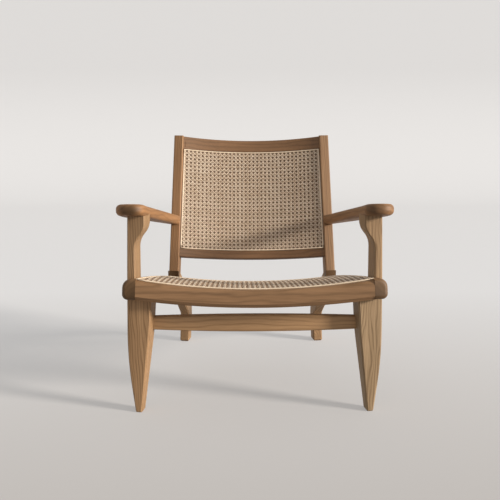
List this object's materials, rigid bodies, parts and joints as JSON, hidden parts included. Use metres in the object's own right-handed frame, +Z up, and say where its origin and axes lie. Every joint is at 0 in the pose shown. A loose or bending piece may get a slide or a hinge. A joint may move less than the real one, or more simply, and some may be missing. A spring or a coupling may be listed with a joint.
{
  "type": "planters chair",
  "caption": "Low wooden lounge chair with raked rear legs, sloping paddle armrests, and a dished seat and bowed back of woven cane.",
  "frame": {"origin": "middle of the floor under the chair, at the bottom centre of its bounding box", "axes": "+Z up, the sitter faces -Y, +X is the sitter's left"},
  "size_m": [0.717, 0.739, 0.7005],
  "materials": {
    "teak": "oiled satin",
    "cane": "natural satin",
    "reed": "natural satin",
    "dowel": "plain"
  },
  "bodies": {
    "root": {"front_seat_rail": "teak", "rear_seat_rail": "teak", "front_stretcher": "teak", "back_top_rail": "teak", "back_lower_rail": "teak", "left_side_rail": "teak", "left_front_leg": "teak", "left_arm_post": "teak", "left_rear_leg": "teak", "left_back_stile": "teak", "left_armrest": "teak", "right_side_rail": "teak", "right_front_leg": "teak", "right_arm_post": "teak", "right_rear_leg": "teak", "right_back_stile": "teak", "right_armrest": "teak", "seat_cane": "cane", "back_cane": "cane", "seat_spline": "reed", "back_spline": "reed", "arm_dowels": "dowel", "knuckle_pegs": "dowel"}
  },
  "joints": []
}
